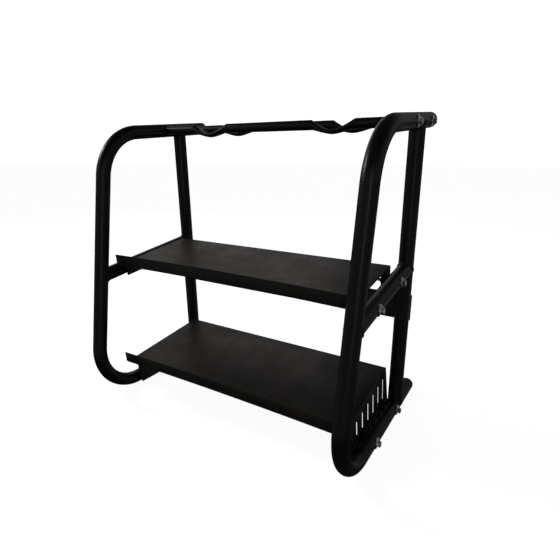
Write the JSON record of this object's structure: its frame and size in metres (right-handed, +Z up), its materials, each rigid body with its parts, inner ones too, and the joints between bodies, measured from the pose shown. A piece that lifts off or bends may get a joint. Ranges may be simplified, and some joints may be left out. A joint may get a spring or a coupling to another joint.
{
  "type": "dumbbell rack",
  "caption": "Free-standing steel dumbbell rack: bent-tube side frames, sloping folded trays with front lips, and saddle-pressed rails bolted across the top.",
  "frame": {"origin": "on the floor, at the bottom centre of the rack's bounding box", "axes": "+Z up, +Y to the rear, +X to the user's right when facing the trays from the front, which is also its mirror direction"},
  "size_m": [0.7964, 0.554, 0.7985],
  "materials": {
    "frame_black": "satin black powder coat with a fine orange-peel texture",
    "tray_black": "satin-matte warm black powder coat, lightly speckled",
    "plastic_black": "moulded black polyethylene",
    "zinc": "bright zinc plate"
  },
  "bodies": {
    "root": {"frame_tube_right": "frame_black", "rear_leg_right": "frame_black", "crossbar_right": "frame_black", "end_plug_top_right": "plastic_black", "end_plug_bottom_right": "plastic_black", "frame_tube_left": "frame_black", "rear_leg_left": "frame_black", "crossbar_left": "frame_black", "end_plug_top_left": "plastic_black", "end_plug_bottom_left": "plastic_black", "rail_front": "frame_black", "rail_rear": "frame_black", "middle_tray": "tray_black", "bottom_tray": "tray_black", "rear_brace": "frame_black", "bolt_top_front_right": "zinc", "washer_top_front_right": "zinc", "bolt_top_rear_right": "zinc", "washer_top_rear_right": "zinc", "bolt_middle_front_right": "zinc", "washer_middle_front_right": "zinc", "nut_middle_front_right": "zinc", "spacer_middle_front_right": "plastic_black", "bolt_middle_rear_right": "zinc", "washer_middle_rear_right": "zinc", "nut_middle_rear_right": "zinc", "spacer_middle_rear_right": "plastic_black", "bolt_bottom_front_right": "zinc", "washer_bottom_front_right": "zinc", "nut_bottom_front_right": "zinc", "spacer_bottom_front_right": "plastic_black", "bolt_bottom_rear_right": "zinc", "washer_bottom_rear_right": "zinc", "nut_bottom_rear_right": "zinc", "spacer_bottom_rear_right": "plastic_black", "brace_screw_lower_right": "zinc", "brace_screw_upper_right": "zinc", "bolt_top_front_left": "zinc", "washer_top_front_left": "zinc", "bolt_top_rear_left": "zinc", "washer_top_rear_left": "zinc", "bolt_middle_front_left": "zinc", "washer_middle_front_left": "zinc", "nut_middle_front_left": "zinc", "spacer_middle_front_left": "plastic_black", "bolt_middle_rear_left": "zinc", "washer_middle_rear_left": "zinc", "nut_middle_rear_left": "zinc", "spacer_middle_rear_left": "plastic_black", "bolt_bottom_front_left": "zinc", "washer_bottom_front_left": "zinc", "nut_bottom_front_left": "zinc", "spacer_bottom_front_left": "plastic_black", "bolt_bottom_rear_left": "zinc", "washer_bottom_rear_left": "zinc", "nut_bottom_rear_left": "zinc", "spacer_bottom_rear_left": "plastic_black", "brace_screw_lower_left": "zinc", "brace_screw_upper_left": "zinc"}
  },
  "joints": []
}
